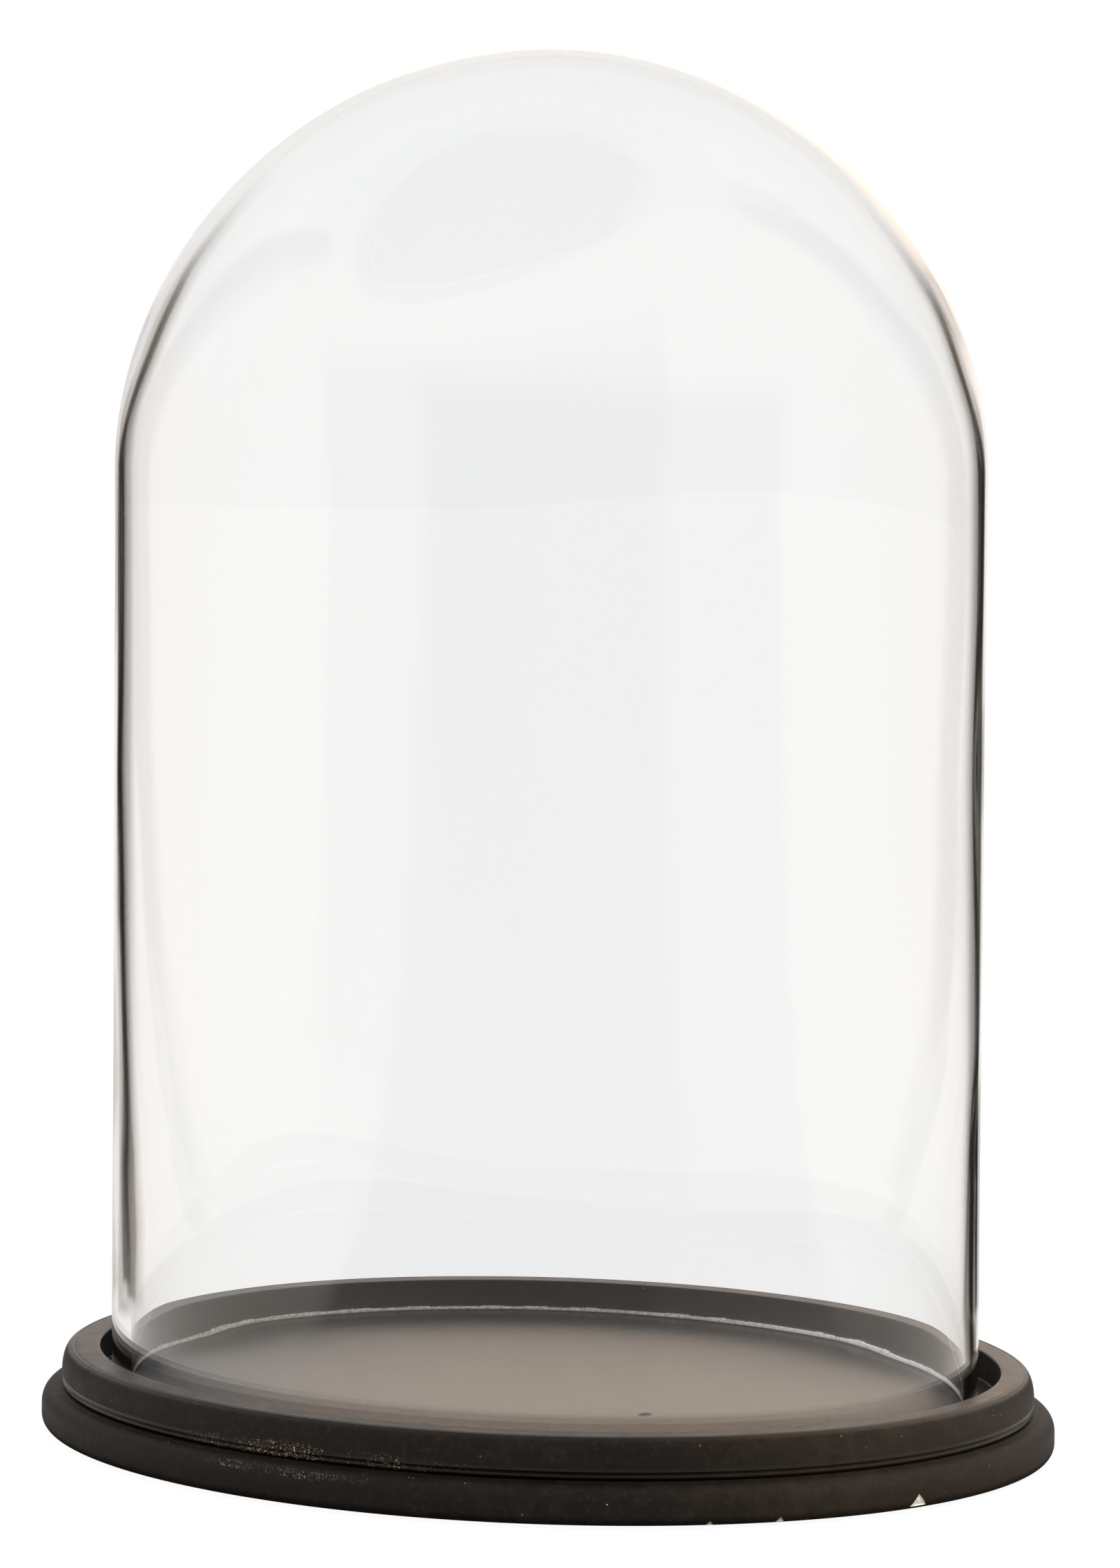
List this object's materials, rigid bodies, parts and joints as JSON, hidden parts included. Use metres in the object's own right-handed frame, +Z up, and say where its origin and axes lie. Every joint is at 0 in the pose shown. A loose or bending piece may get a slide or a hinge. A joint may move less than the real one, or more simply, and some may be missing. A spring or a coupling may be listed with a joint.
{
  "type": "bell jar dome",
  "caption": "Clear oval glass dome that stands loose in the shallow pocket of a dark moulded wooden base, and lifts straight off to cover or show an object.",
  "frame": {"origin": "centre of the underside, on the plane where the felt pads meet the table", "axes": "+Z up, along which the dome lifts off; X along the long axis of the oval; Y along its short axis"},
  "size_m": [0.3006, 0.251, 0.3988],
  "materials": {
    "clear_glass": "clear blown glass with slight waviness, ground foot",
    "tray_wood": "black-brown stain under satin wax, worn on the edges",
    "plinth_wood": "black-brown stain under satin wax, worn and chipped on the edges",
    "screw_steel": "plain slotted countersunk wood screw, slightly dull",
    "pad_felt": "dense black wool felt"
  },
  "bodies": {
    "base": {"plinth_board": "plinth_wood", "tray_board": "tray_wood", "screw_1": "screw_steel", "screw_2": "screw_steel", "screw_3": "screw_steel", "screw_4": "screw_steel", "screw_5": "screw_steel", "screw_6": "screw_steel", "felt_pad_1": "pad_felt", "felt_pad_2": "pad_felt", "felt_pad_3": "pad_felt", "felt_pad_4": "pad_felt"},
    "dome": {"glass_dome": "clear_glass"}
  },
  "joints": [
    {"name": "dome_lift", "type": "slide", "parent": "base", "child": "dome", "axis": [0, 0, 1], "range_m": [0, 0.4]}
  ]
}
